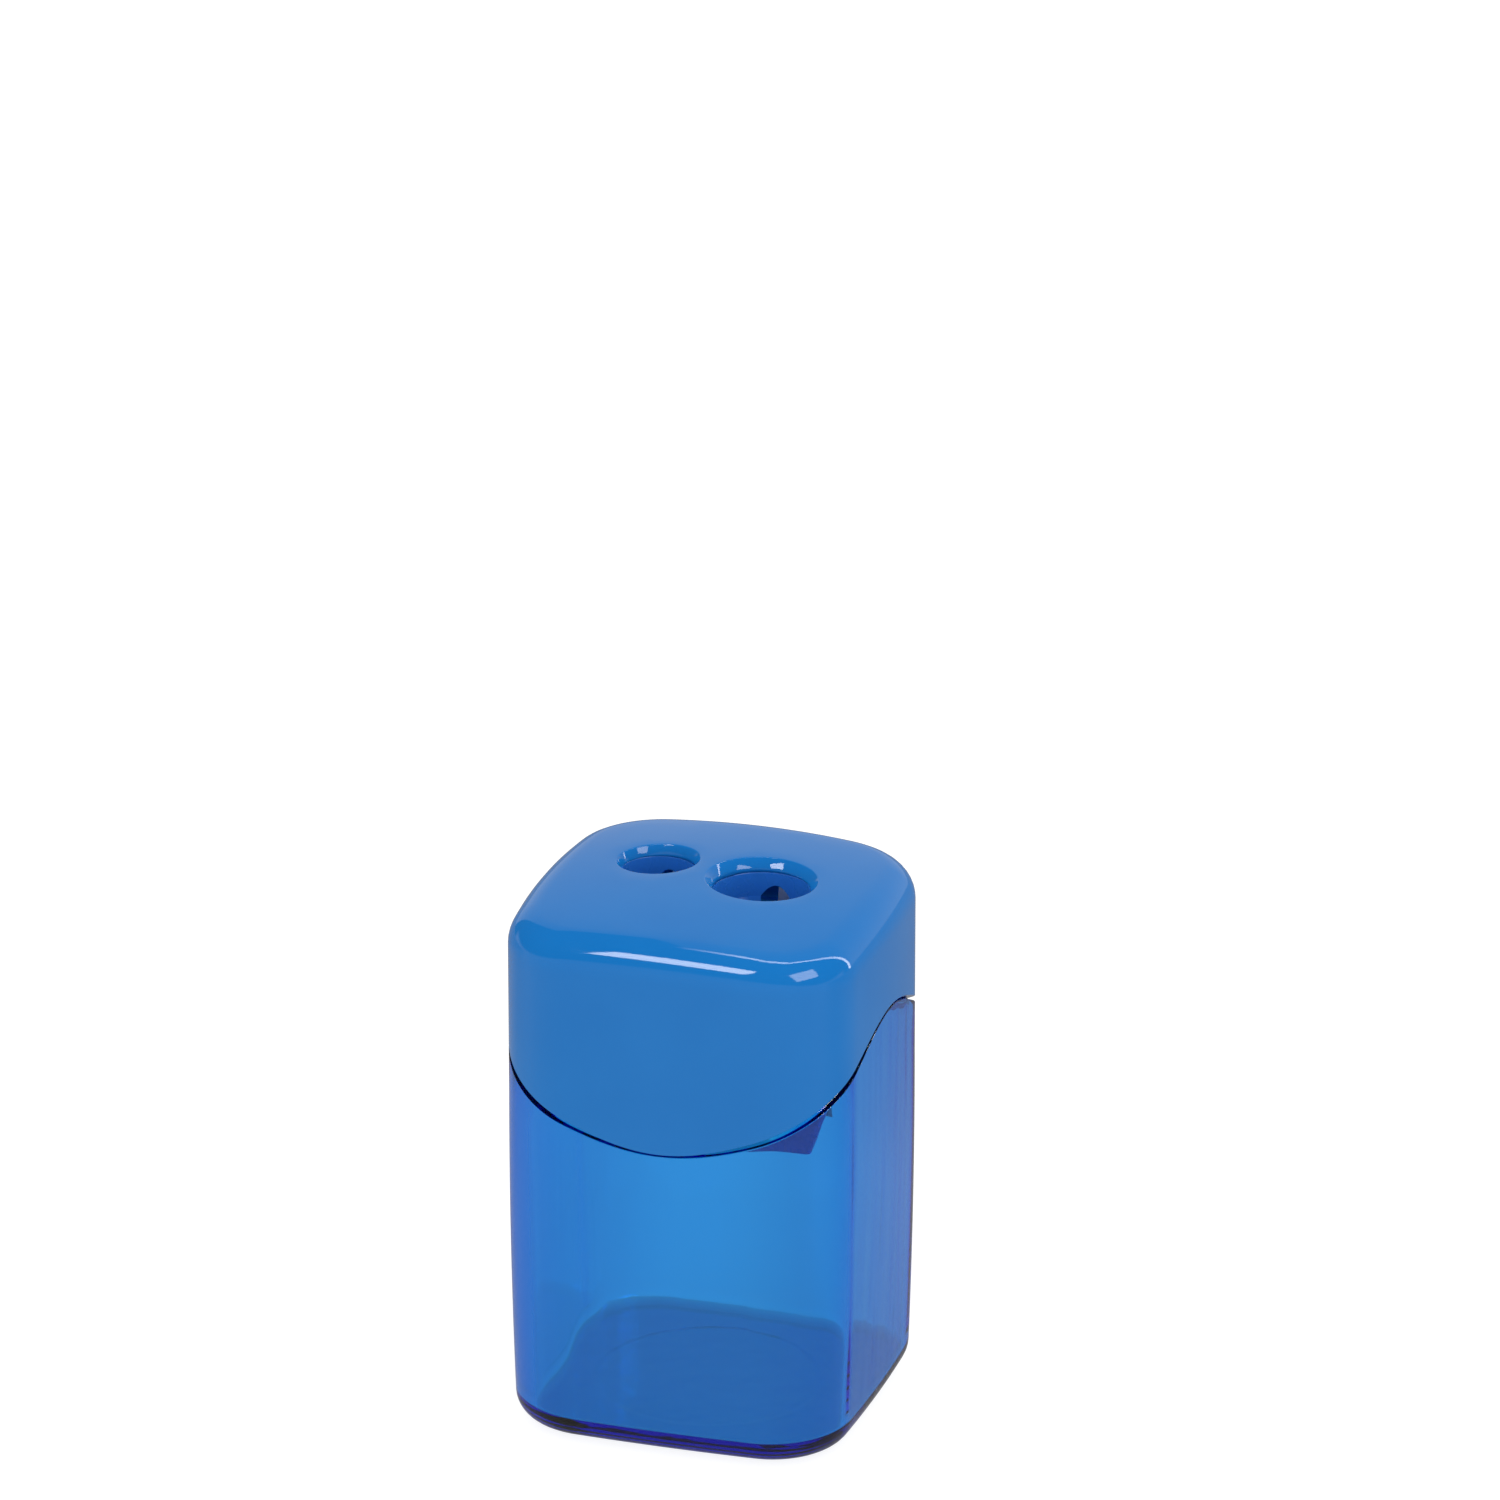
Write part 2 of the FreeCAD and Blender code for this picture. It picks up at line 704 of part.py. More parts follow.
def screw(name):
    """Slotted pan-head screw, turned about its own axis, head outwards."""
    body = new_body(f"{name}_blade_screw")
    section = new_sketch(body, "half_section", "XZ_Plane")
    corners = [
        ("0", "screw_head_height"),
        ("screw_crown_radius", "screw_head_height"),
        ("screw_head_radius", "screw_rim_height"),
        ("screw_head_radius", "0"),
        ("screw_radius", "0"),
        ("screw_radius", "screw_point - screw_length"),
        ("0", "0 - screw_length"),
    ]
    polygon(section, corners)
    feature = body.newObject("PartDesign::Revolution", "turned")
    feature.Profile = section
    feature.ReferenceAxis = (section, ["V_Axis"])
    feature.Angle = 360
    screw_slot(body)
    across = size(f"{name}_x + blade_lead + blade_hole_offset")
    middle = size("blade_overrun - blade_length / 2")
    seat = seat_placement(name, across, middle, size("blade_thickness"))
    outward = Placement(Vector(), Rotation(Vector(1, 0, 0), -90))
    body.Placement = seat.multiply(outward)
    return body


def screw_slot(body):
    """Driver slot across the screw's head."""
    sketch = new_sketch(body, "slot_outline", "XY_Plane", "screw_head_height")
    half = "screw_slot_width / 2"
    end = "2 * screw_head_radius"
    left = f"-1 * {end}"
    front = f"-1 * {half}"
    polygon(sketch, [(left, front), (end, front), (end, half), (left, half)])
    pocket(body, "slot", sketch, "screw_slot_depth")


def check(items):
    """Stop if anything in the document failed or a piece has no sound solid."""
    doc.recompute()
    for item in doc.Objects:
        if "Invalid" in item.State or "Error" in item.State:
            raise RuntimeError(f"{item.Label} failed: {item.State}")
    for item in items:
        if item.Shape.isNull() or not item.Shape.isValid() or len(item.Shape.Solids) != 1:
            raise RuntimeError(f"{item.Label} has no sound solid")


pieces = [container(), lid(), block()]
for hole_name in HOLES:
    pieces.append(blade(hole_name))
    pieces.append(screw(hole_name))
check(pieces)
os.makedirs("parts", exist_ok=True)
for piece in pieces:
    piece.Shape.exportStep(f"parts/{piece.Label}.step")
    box = piece.Shape.BoundBox
    print(f"{piece.Label}: {piece.Shape.Volume:.1f} mm3, z {box.ZMin:.2f} to {box.ZMax:.2f}")
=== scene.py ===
import math

import bmesh
import bpy
import numpy as np
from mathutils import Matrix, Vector
from mathutils.geometry import delaunay_2d_cdt


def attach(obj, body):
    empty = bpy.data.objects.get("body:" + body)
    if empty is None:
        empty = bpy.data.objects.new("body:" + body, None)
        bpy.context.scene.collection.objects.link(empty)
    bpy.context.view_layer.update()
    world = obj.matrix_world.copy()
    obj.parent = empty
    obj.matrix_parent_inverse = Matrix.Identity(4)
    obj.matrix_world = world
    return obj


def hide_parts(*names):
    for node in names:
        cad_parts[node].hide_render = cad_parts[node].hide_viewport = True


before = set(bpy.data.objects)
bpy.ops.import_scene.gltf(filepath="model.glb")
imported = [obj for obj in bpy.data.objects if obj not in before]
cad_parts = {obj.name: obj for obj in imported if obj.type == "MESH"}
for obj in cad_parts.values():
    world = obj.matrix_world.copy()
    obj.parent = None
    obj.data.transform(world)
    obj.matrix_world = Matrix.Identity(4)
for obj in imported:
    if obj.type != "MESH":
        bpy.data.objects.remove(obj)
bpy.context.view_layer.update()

MM = 0.001

# Container, in millimetres, with the origin at the centre of the underside and the front towards -Y

BASE_SECTION = (19.1, 240.0, 8.9)  # half width, side radius and corner radius at the bottom
MIDDLE_SECTION = (19.7, 180.0, 9.5)
TOP_SECTION = (20.0, 120.0, 10.0)
MIDDLE_HEIGHT = 19.0
TOP_HEIGHT = 38.0  # the sides are upright above this height
WALL = 1.9
CORNER_GAIN = 0.6  # the inner corners are rounder than an even wall would make them
FLOOR = 2.2
FLOOR_FILLET = 0.35
BASE_FILLET = 2.8
RECESS_RADIUS = 13.0
RECESS_DEPTH = 0.06
RECESS_SLOPE = 0.6  # width of the soft edge of the recess
INNER_RING = 1.4  # radii of the rings of points in the middle of the floor
MIDDLE_RING = 6.0
RIM_MEAN = 41.15
RIM_SWING = 5.82  # the parting line rises at the sides and dips at the front and back
RIM_FLATNESS = 0.43
RIM_ROUND = 0.1
SHOULDER = 1.05
LEDGE = 0.5  # the shoulder is level as far in as this, and then rises over a bevel at the corners
BEVEL_WIDTH = 0.4
BEVEL_HEIGHT = 0.55
LIP_HEIGHT = 2.2
EDGE = 0.12  # rounding of the moulded edges

# Lid, in millimetres

LID_EDGE = 0.1
LID_GAP = 0.15
LID_GAP_CORNER = 0.55
LID_TOP = 60.7
LID_UNDERSIDE = 58.6
CROWN_RADIUS = 150.0
LID_FILLET = 4.1
LID_WALL = 2.0
LID_INNER_FILLET = 1.8
REBATE = 0.93
REBATE_TOP = 51.0
MOUTH_EDGE = 0.2  # rounding of the upper edge of a hole
MOUTH_DEPTH = 1.1  # the hole narrows like a funnel down to this depth
MOUTH_BULGE = 0.04
STANDARD_HOLE = (-7.1, 2.95, 4.05, 4.5)  # centre, radius of the bore and radius of the mouth
JUMBO_HOLE = (5.3, 0.75, 5.3, 6.05)
PLATE_TOP = 59.1  # the block's plate lies in a shallow recess of the lid's underside
PLATE_BOTTOM = 57.9
RECESS_CORNERS = ((-13.5, -8.7), (15.5, -8.7), (15.5, 9.7), (-13.5, 9.7))
HOOK_LEFT = -3.0
HOOK_RIGHT = 5.0
HOOK_ROOTS = (-8.7, 9.7)  # the sides of the two hooks that face the plate
HOOK_THICKNESS = 1.2
HOOK_REACH = 1.1
HOOK_DROP = 1.0

# Fineness of the meshes

ARC_STEPS = 26  # points along each of the eight arcs of a plan outline
WALL_ROWS = 30
BASE_STEPS = 10
FLOOR_STEPS = 6
RIM_STEPS = 6
BEVEL_STEPS = 8
EDGE_STEPS = 3
CORNER_GAIN_ROWS = 4  # rows of the inner wall over which its corners get rounder
LID_ROWS = 14
LID_EDGE_STEPS = 4
LID_FILLET_STEPS = 10
LID_INNER_STEPS = 5
REBATE_ROWS = 6
HOLE_POINTS = 72
MOUTH_STEPS = 4
FUNNEL_STEPS = 6
RECESS_SIDE_STEPS = 12
HOOK_EDGE_STEPS = 2
TOP_SPACING = 1.6  # millimetres between the points that fill the lid's top
UNDERSIDE_SPACING = 2.0
CLEAR_SHARE = 0.6  # share of the spacing that those points keep from the edges
SUPPORT = 0.03  # distance from an edge to the ring that supports its shading
SUPPORT_SHARE = 0.25  # and the largest share of the strip that this may be
WHOLE_HULL = 0  # the triangulation's kind of output
SAME_POINT = 1e-7  # and the distance within which it joins points


# Rings of points round the plan outline

def outline(half_width, side_radius, corner_radius):
    """Points round a square with bulged sides and round corners, with the outward direction at each."""
    offset = half_width - side_radius
    reach = side_radius - corner_radius
    corner = (offset + math.sqrt(2 * reach**2 - offset**2)) / 2
    swing = math.atan2(corner, corner - offset)
    steps = np.arange(ARC_STEPS) / ARC_STEPS
    side = -swing + 2 * swing * steps
    bend = swing + (math.pi / 2 - 2 * swing) * steps
    points = []
    normals = []
    for quarter in range(4):
        turn = quarter * math.pi / 2
        cos, sin = math.cos(turn), math.sin(turn)
        x = np.concatenate((offset + side_radius * np.cos(side), corner + corner_radius * np.cos(bend)))
        y = np.concatenate((side_radius * np.sin(side), corner + corner_radius * np.sin(bend)))
        points.append(np.stack((x * cos - y * sin, x * sin + y * cos), axis=1))
        angle = turn + np.concatenate((side, bend))
        normals.append(np.stack((np.cos(angle), np.sin(angle)), axis=1))
    return np.concatenate(points), np.concatenate(normals)


def inset_outline(section, inset, corner_gain=0.0):
    return outline(section[0] - inset, section[1] - inset, section[2] - inset + corner_gain)[0]


def ring(inset, height, corner_gain=0.0):
    """Ring at a distance inside the outer wall, which follows a parabola through the three sections.

    The height is one number or a number for each point."""
    base = inset_outline(BASE_SECTION, inset, corner_gain)
    middle = inset_outline(MIDDLE_SECTION, inset, corner_gain)
    top = inset_outline(TOP_SECTION, inset, corner_gain)
    z = np.broadcast_to(np.asarray(height, dtype=float), (len(top),))
    level = np.minimum(z, TOP_HEIGHT)[:, None]
    weight_base = (level - MIDDLE_HEIGHT) * (level - TOP_HEIGHT) / (MIDDLE_HEIGHT * TOP_HEIGHT)
    weight_middle = level * (level - TOP_HEIGHT) / (MIDDLE_HEIGHT * (MIDDLE_HEIGHT - TOP_HEIGHT))
    weight_top = level * (level - MIDDLE_HEIGHT) / (TOP_HEIGHT * (TOP_HEIGHT - MIDDLE_HEIGHT))
    plan = weight_base * base + weight_middle * middle + weight_top * top
    return np.column_stack((plan, z))


def round_ring(radius, height):
    """Ring on a circle, with its points at the same plan angles as those of the outline."""
    plan = inset_outline(BASE_SECTION, 0.0)
    direction = plan / np.linalg.norm(plan, axis=1)[:, None]
    return np.column_stack((direction * radius, np.full(len(plan), float(height))))


def plan_angle(inset):
    plan = inset_outline(TOP_SECTION, inset)
    return np.arctan2(plan[:, 1], plan[:, 0])


def rim_wave(inset):
    """Height of the container's rim round the object."""
    angle = plan_angle(inset)
    return RIM_MEAN + RIM_SWING * np.cos(2 * angle) + RIM_FLATNESS * np.cos(4 * angle)


def lid_wave(inset):
    """Height of the lid's lower edge round the object."""
    return rim_wave(inset) + LID_GAP + LID_GAP_CORNER * np.sin(2 * plan_angle(inset)) ** 2


def shoulder_wave(inset):
    """Height of the shoulder at a distance inside the outer wall."""
    rise = min(max((inset - LEDGE) / BEVEL_WIDTH, 0.0), 1.0)
    return rim_wave(inset) + BEVEL_HEIGHT * rise * np.sin(2 * plan_angle(inset)) ** 2


def quarter_turns(count):
    return [math.pi / 2 * step / count for step in range(count + 1)]


# Closed meshes from rings

class Shell:
    """Collects rings of points and the faces between them."""

    def __init__(self):
        self.points = []
        self.faces = []

    def add(self, points):
        start = len(self.points)
        self.points.extend(tuple(point) for point in points)
        return list(range(start, len(self.points)))

    def bridge(self, first, second):
        count = len(first)
        for i in range(count):
            j = (i + 1) % count
            self.faces.append((first[i], first[j], second[j], second[i]))

    def sweep(self, rings):
        """Joins a row of rings and returns the first and the last of them."""
        rows = [self.add(points) for points in supported(rings)]
        for first, second in zip(rows, rows[1:]):
            self.bridge(first, second)
        return rows[0], rows[-1]

    def close(self, row, height):
        """Closes a ring to a point on the Z axis."""
        centre = self.add([(0.0, 0.0, height)])[0]
        for i, index in enumerate(row):
            self.faces.append((index, row[(i + 1) % len(row)], centre))

    def fill(self, border, holes, spacing, height):
        """Fills a border ring, apart from hole rings, with small triangles on a surface of given height."""
        loops = [border] + holes
        indices = [index for loop in loops for index in loop]
        flat = [Vector(self.points[index][:2]) for index in indices]
        edges = []
        start = 0
        for loop in loops:
            edges += [(start + i, start + (i + 1) % len(loop)) for i in range(len(loop))]
            start += len(loop)
        inner = inside_points(flat, loops, spacing)
        indices += self.add([(x, y, height(x, y)) for x, y in inner])
        flat += [Vector(point) for point in inner]
        made = delaunay_2d_cdt(flat, edges, [], WHOLE_HULL, SAME_POINT)
        rings = split_loops(flat, loops)
        for face in made[2]:
            middle = sum((made[0][i] for i in face), Vector((0, 0))) / len(face)
            if between(middle, rings):
                self.faces.append(tuple(indices[made[3][i][0]] for i in face))

    def make(self, name):
        mesh = bpy.data.meshes.new(name)
        mesh.from_pydata([[value * MM for value in point] for point in self.points], [], self.faces)
        return finish_mesh(name, mesh)


def supported(rings):
    """Adds a ring close to each fine edge beside a wide strip, so that the strip keeps its own shading."""
    widths = [np.linalg.norm(b - a, axis=1).mean() for a, b in zip(rings, rings[1:])]
    result = [rings[0]]
    for i, width in enumerate(widths):
        start, end = rings[i], rings[i + 1]
        share = min(SUPPORT / width, SUPPORT_SHARE)
        if i > 0 and widths[i - 1] < width / 2:
            result.append(start + (end - start) * share)
        if i + 1 < len(widths) and widths[i + 1] < width / 2:
            result.append(end + (start - end) * share)
        result.append(end)
    return result


def finish_mesh(name, mesh):
    work = bmesh.new()
    work.from_mesh(mesh)
    bmesh.ops.recalc_face_normals(work, faces=work.faces)
    work.to_mesh(mesh)
    work.free()
    mesh.shade_smooth()
    piece = bpy.data.objects.new(name, mesh)
    bpy.context.scene.collection.objects.link(piece)
    return piece


def split_loops(flat, loops):
    rings = []
    start = 0
    for loop in loops:
        rings.append(flat[start:start + len(loop)])
        start += len(loop)
    return rings


def inside(point, polygon):
    """True if a point is inside a polygon."""
    result = False
    for i, a in enumerate(polygon):
        b = polygon[i - 1]
        if (a.y > point.y) != (b.y > point.y):
            if point.x < (b.x - a.x) * (point.y - a.y) / (b.y - a.y) + a.x:
                result = not result
    return result


def between(point, rings):
    """True if a point is inside the first ring and outside the others."""
    return inside(point, rings[0]) and not any(inside(point, hole) for hole in rings[1:])


def inside_points(flat, loops, spacing):
    """Grid points well inside the border and outside the holes."""
    rings = split_loops(flat, loops)
    half = TOP_SECTION[0]
    count = math.ceil(2 * half / spacing)
    found = []
    for row in range(count + 1):
        for column in range(count + 1):
            point = Vector((column * spacing - half, row * spacing - half))
            clear = min((point - other).length for other in flat) > spacing * CLEAR_SHARE
            if clear and between(point, rings):
                found.append((point.x, point.y))
    return found


# Container

def container_outside():
    """Rings from the middle of the underside up to the rim."""
    rings = [
        round_ring(INNER_RING, RECESS_DEPTH),
        round_ring(MIDDLE_RING, RECESS_DEPTH),
        round_ring(RECESS_RADIUS - RECESS_SLOPE, RECESS_DEPTH),
        round_ring(RECESS_RADIUS, 0.0),
    ]
    for turn in quarter_turns(BASE_STEPS):
        inset = BASE_FILLET * (1 - math.sin(turn))
        rings.append(ring(inset, BASE_FILLET * (1 - math.cos(turn))))
    top = rim_wave(0.0) - RIM_ROUND
    for row in range(1, WALL_ROWS + 1):
        rings.append(ring(0.0, BASE_FILLET + (top - BASE_FILLET) * row / WALL_ROWS))
    return rings


def container_shoulder():
    """Rings over the rounded rim and inwards along the shoulder to the foot of the lip."""
    rings = []
    for turn in quarter_turns(RIM_STEPS)[1:]:
        inset = RIM_ROUND * (1 - math.cos(turn))
        rings.append(ring(inset, shoulder_wave(inset) - RIM_ROUND * (1 - math.sin(turn))))
    for step in range(BEVEL_STEPS + 1):
        inset = LEDGE + BEVEL_WIDTH * step / BEVEL_STEPS
        rings.append(ring(inset, shoulder_wave(inset)))
    for turn in quarter_turns(EDGE_STEPS):
        inset = SHOULDER - EDGE * (1 - math.sin(turn))
        rings.append(ring(inset, shoulder_wave(SHOULDER) + EDGE * (1 - math.cos(turn))))
    return rings


def container_lip():
    """Rings over the top of the lip."""
    rings = []
    top = rim_wave(SHOULDER) + LIP_HEIGHT
    for turn in quarter_turns(EDGE_STEPS):
        inset = SHOULDER + EDGE * (1 - math.cos(turn))
        rings.append(ring(inset, top - EDGE * (1 - math.sin(turn))))
    for turn in reversed(quarter_turns(EDGE_STEPS)):
        inset = WALL - EDGE * (1 - math.cos(turn))
        rings.append(ring(inset, top - EDGE * (1 - math.sin(turn))))
    return rings


def container_inside():
    """Rings from the lip down the inner wall to the middle of the floor."""
    rings = []
    top = rim_wave(SHOULDER) + LIP_HEIGHT - EDGE
    bottom = FLOOR + FLOOR_FILLET
    for row in range(1, WALL_ROWS + 1):
        gain = CORNER_GAIN * min(row / CORNER_GAIN_ROWS, 1.0)
        rings.append(ring(WALL, top + (bottom - top) * row / WALL_ROWS, gain))
    for turn in quarter_turns(FLOOR_STEPS)[1:]:
        inset = WALL + FLOOR_FILLET * (1 - math.cos(turn))
        rings.append(ring(inset, FLOOR + FLOOR_FILLET * (1 - math.sin(turn)), CORNER_GAIN))
    for radius in (RECESS_RADIUS, MIDDLE_RING, INNER_RING):
        rings.append(round_ring(radius, FLOOR))
    return rings


def container():
    """The see-through container, with its shoulder and its inner lip."""
    shell = Shell()
    rings = container_outside() + container_shoulder() + container_lip() + container_inside()
    first, last = shell.sweep(rings)
    shell.close(first, RECESS_DEPTH)
    shell.close(last, FLOOR)
    return shell.make("container_fine")


# Lid

def crown(x, y, offset=0.0):
    """Height of the domed top, or of a surface at a distance below it."""
    radius = CROWN_RADIUS - offset
    return LID_TOP - CROWN_RADIUS + math.sqrt(radius**2 - x**2 - y**2)


def arc_between(first, second, share):
    """Direction part of the way from one unit direction to another."""
    angle = math.acos(max(-1.0, min(1.0, float(np.dot(first, second)))))
    return (math.sin((1 - share) * angle) * first + math.sin(share * angle) * second) / math.sin(angle)


def crown_direction(centre):
    """Direction from the centre of the dome's sphere to a point."""
    direction = np.array((centre[0], centre[1], centre[2] - LID_TOP + CROWN_RADIUS))
    return direction / np.linalg.norm(direction)


def rolled_rings(centres, starts, radius, steps):
    """Rings of a fillet rolled between a wall and the domed top.

    The starts are the directions from the centres to the wall."""
    rings = []
    for step in range(steps + 1):
        rows = [
            centre + radius * arc_between(start, crown_direction(centre), step / steps)
            for centre, start in zip(centres, starts)
        ]
        rings.append(np.array(rows))
    return rings


def lid_fillet():
    """Rings of the large rounding between the side and the domed top."""
    plan, normals = outline(*[value - LID_FILLET for value in TOP_SECTION])
    centres = [np.array((x, y, crown(x, y, LID_FILLET))) for x, y in plan]
    starts = [np.array((x, y, 0.0)) for x, y in normals]
    return rolled_rings(centres, starts, LID_FILLET, LID_FILLET_STEPS)


def hole_directions():
    """Level directions round a hole."""
    angles = [2 * math.pi * i / HOLE_POINTS for i in range(HOLE_POINTS)]
    return [np.array((math.cos(angle), math.sin(angle), 0.0)) for angle in angles]


def mouth_rings(hole):
    """Rings over the rounded upper edge of a hole, from the domed top to the funnel."""
    x, y, radius, mouth = hole
    axis = np.array((x, y, 0.0))
    slant = math.atan2(mouth - radius, MOUTH_DEPTH)
    centres = []
    starts = []
    for direction in hole_directions():
        centre = axis + direction * (mouth + MOUTH_EDGE)
        centre[2] = crown(centre[0], centre[1], MOUTH_EDGE)
        centres.append(centre)
        starts.append(-direction * math.cos(slant) + np.array((0.0, 0.0, math.sin(slant))))
    return rolled_rings(centres, starts, MOUTH_EDGE, MOUTH_STEPS)[::-1]


def hole_rings(hole):
    """Rings of a hole in the lid, from its upper edge down through the funnel to the underside."""
    x, y, radius, _ = hole
    rings = mouth_rings(hole)
    away = np.array(hole_directions())
    funnel_top = rings[-1]
    funnel_end = np.array((x, y, 0.0)) + away * radius
    funnel_end[:, 2] = [crown(end[0], end[1], MOUTH_DEPTH) for end in funnel_end]
    for step in range(1, FUNNEL_STEPS + 1):
        share = step / FUNNEL_STEPS
        bulge = MOUTH_BULGE * 4 * share * (1 - share)
        rings.append(funnel_top + (funnel_end - funnel_top) * share - away * bulge)
    bottom = np.array(funnel_end)
    bottom[:, 2] = PLATE_TOP
    return rings + [bottom]


def recess_rings():
    """Rings of the recess for the block's plate, from the underside up to the recess's flat top."""
    plan = []
    for i, corner in enumerate(RECESS_CORNERS):
        start = np.array(corner)
        end = np.array(RECESS_CORNERS[(i + 1) % len(RECESS_CORNERS)])
        plan += [start + (end - start) * step / RECESS_SIDE_STEPS for step in range(RECESS_SIDE_STEPS)]
    return [np.array([(x, y, height) for x, y in plan]) for height in (LID_UNDERSIDE, PLATE_TOP)]


def lid_edge(wall, inwards):
    """Rings of the rounding between the lid's lower edge and a wall.

    The edge lies inwards of the wall (1) or outwards of it (-1)."""
    rings = []
    for turn in reversed(quarter_turns(LID_EDGE_STEPS)):
        inset = wall + inwards * LID_EDGE * (1 - math.cos(turn))
        rings.append(ring(inset, lid_wave(inset) + LID_EDGE * (1 - math.sin(turn))))
    return rings


def lid_outside():
    """Rings from the lower edge up the side and over the large rounding to the domed top."""
    fillet = lid_fillet()
    rings = lid_edge(0.0, 1)
    bottom = lid_wave(0.0) + LID_EDGE
    top = fillet[0][:, 2]
    for row in range(1, LID_ROWS):
        rings.append(ring(0.0, bottom + (top - bottom) * row / LID_ROWS))
    return rings + fillet


def lid_inside():
    """Rings from the lower edge up the rebate and the inner wall to the flat underside of the top."""
    rings = lid_edge(REBATE, -1)
    start = lid_wave(REBATE) + LID_EDGE
    for row in range(1, REBATE_ROWS + 1):
        rings.append(ring(REBATE, start + (REBATE_TOP - start) * row / REBATE_ROWS))
    rings.append(ring(LID_WALL - EDGE, REBATE_TOP))
    rings.append(ring(LID_WALL, REBATE_TOP + EDGE))
    for turn in quarter_turns(LID_INNER_STEPS):
        inset = LID_WALL + LID_INNER_FILLET * (1 - math.cos(turn))
        rings.append(ring(inset, LID_UNDERSIDE - LID_INNER_FILLET * (1 - math.sin(turn))))
    return rings


def lid():
    """The opaque lid: outer side, domed top, holes, underside, inner wall and rebate."""
    shell = Shell()
    outer_edge, border = shell.sweep(lid_outside())
    holes = [shell.sweep(hole_rings(hole)) for hole in (STANDARD_HOLE, JUMBO_HOLE)]
    shell.fill(border, [upper for upper, _ in holes], TOP_SPACING, crown)
    inner_edge, ceiling = shell.sweep(lid_inside())
    shell.bridge(outer_edge, inner_edge)
    recess_edge, recess_top = shell.sweep(recess_rings())
    shell.fill(ceiling, [recess_edge], UNDERSIDE_SPACING, lambda x, y: LID_UNDERSIDE)
    shell.fill(recess_top, [lower for _, lower in holes], UNDERSIDE_SPACING, lambda x, y: PLATE_TOP)
    return shell.make("lid_fine")


def hook_profile(root):
    """Corners of a hook's side, as places along Y and heights."""
    away = math.copysign(1.0, root)
    back = root + away * HOOK_THICKNESS
    tip = root - away * HOOK_REACH
    foot = PLATE_BOTTOM - HOOK_DROP
    return [
        (root, LID_UNDERSIDE),
        (back, LID_UNDERSIDE),
        (back, foot),
        (root, foot),
        (tip, PLATE_BOTTOM - HOOK_DROP / 2),
        (tip, PLATE_BOTTOM),
        (root, PLATE_BOTTOM),
    ]


def hooks():
    """The two snap hooks under the lid that hold the block's plate."""
    shape = bmesh.new()
    for root in HOOK_ROOTS:
        corners = [shape.verts.new(Vector((HOOK_LEFT, y, z)) * MM) for y, z in hook_profile(root)]
        side = shape.faces.new(corners)
        pulled = bmesh.ops.extrude_face_region(shape, geom=[side])
        moved = [item for item in pulled["geom"] if isinstance(item, bmesh.types.BMVert)]
        bmesh.ops.translate(shape, verts=moved, vec=Vector((HOOK_RIGHT - HOOK_LEFT, 0.0, 0.0)) * MM)
    edges = shape.edges[:]
    bmesh.ops.bevel(shape, geom=edges, offset=LID_EDGE * MM, segments=HOOK_EDGE_STEPS, affect="EDGES")
    mesh = bpy.data.meshes.new("lid_hooks")
    shape.to_mesh(mesh)
    shape.free()
    return finish_mesh("lid_hooks", mesh)


# Materials. A scale is a number of waves in a metre, and a depth is in metres

NOISE_SPAN = (0.3, 0.7)  # the usual range of a noise

PLASTIC_IOR = 1.5
PLASTIC_SPECULAR = 0.4
LID_COLOURS = ((0.006, 0.155, 0.480, 1.0), (0.008, 0.166, 0.500, 1.0))
LID_ROUGHNESS = (0.04, 0.07)
BLOCK_COLOURS = ((0.018, 0.155, 0.57, 1.0), (0.022, 0.175, 0.61, 1.0))
BLOCK_ROUGHNESS = (0.22, 0.32)
TONE_SCALE = 90.0
POLISH_SCALE = 400.0
SKIN_SCALE = 2600.0
SKIN_DETAIL = 2.0
SKIN_DEPTH = 0.000001

WHITE = (1.0, 1.0, 1.0, 1.0)
CLEAR_TINT = (0.075, 0.775, 0.98, 1.0)
CLEAR_DENSITY = 1200.0
CLEAR_ROUGHNESS = (0.002, 0.010)
CLEAR_POLISH_SCALE = 500.0
FLOW_SCALE = 160.0  # upright marks of the plastic's flow in the mould
FLOW_DETAIL = 2.0
FLOW_STRETCH = (1.0, 1.0, 0.15)
FLOW_DEPTH = 0.00008

BLADE_COLOUR = (0.62, 0.58, 0.53)
BLADE_ROUGHNESS = (0.38, 0.55)
BLADE_STRETCH = (1.0, 1.0, 0.06)
SCREW_COLOUR = (0.66, 0.63, 0.58)
SCREW_ROUGHNESS = (0.18, 0.30)
SCREW_STRETCH = (1.0, 1.0, 1.0)
STEEL_DARKER = 0.8  # shade of the marks in the steel
MARK_SCALE = 900.0
MARK_DETAIL = 4.0
MARK_DEPTH = 0.000004


